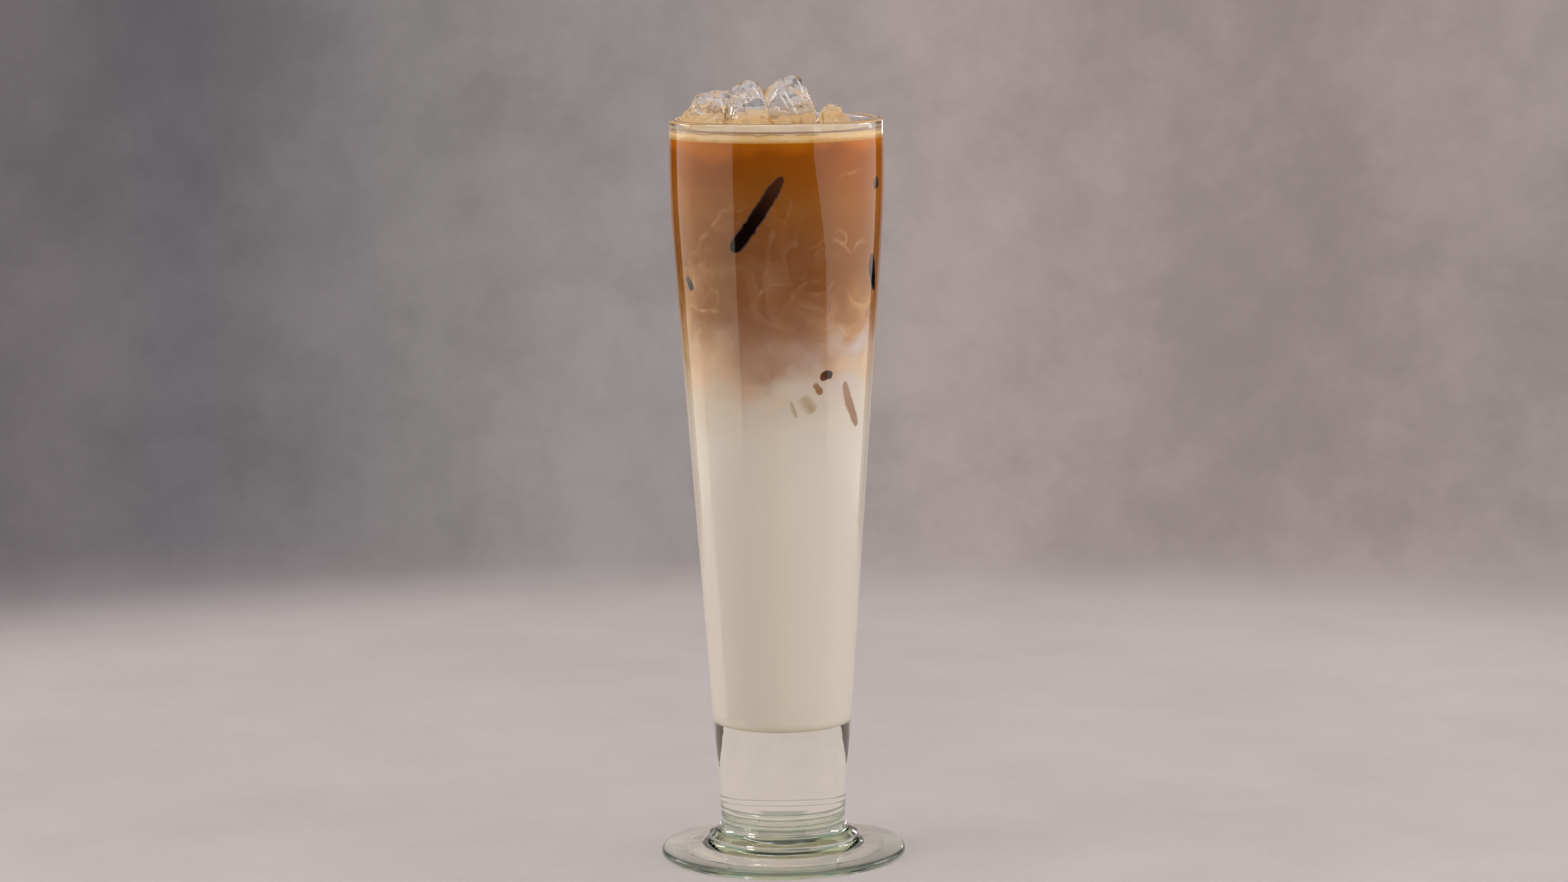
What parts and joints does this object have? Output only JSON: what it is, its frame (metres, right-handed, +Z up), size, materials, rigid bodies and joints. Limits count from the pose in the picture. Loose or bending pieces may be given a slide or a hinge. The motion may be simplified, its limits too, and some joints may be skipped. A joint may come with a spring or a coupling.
{
  "type": "iced latte in a footed glass",
  "caption": "Iced latte in a tall footed glass: pale milk below, a mixed tan layer, dark coffee above, a thin foam and clear ice standing out of the rim.",
  "frame": {"origin": "middle of the flat ring on the foot's underside, where the glass stands on a table", "axes": "+Z up along the axis of the glass, towards the rim; +X to the right and +Y away, seen from the side the drink was pictured from"},
  "size_m": [0.0796, 0.0796, 0.2532],
  "materials": {
    "clear_glass": "clear pressed glass with a faint green tint, polished",
    "milk": "opaque white milk, faintly stained by coffee",
    "mixed_drink": "coffee and milk mixed, tan and cloudy",
    "coffee": "dark brown coffee with thin milky wisps",
    "foam": "fine tan foam",
    "ice": "clear melting ice, wet and rounded"
  },
  "bodies": {
    "root": {"glass": "clear_glass", "milk": "milk", "mixed_layer": "mixed_drink", "coffee": "coffee", "foam": "foam", "ice_left": "ice", "ice_front": "ice", "ice_peak": "ice", "ice_right": "ice"}
  },
  "joints": []
}
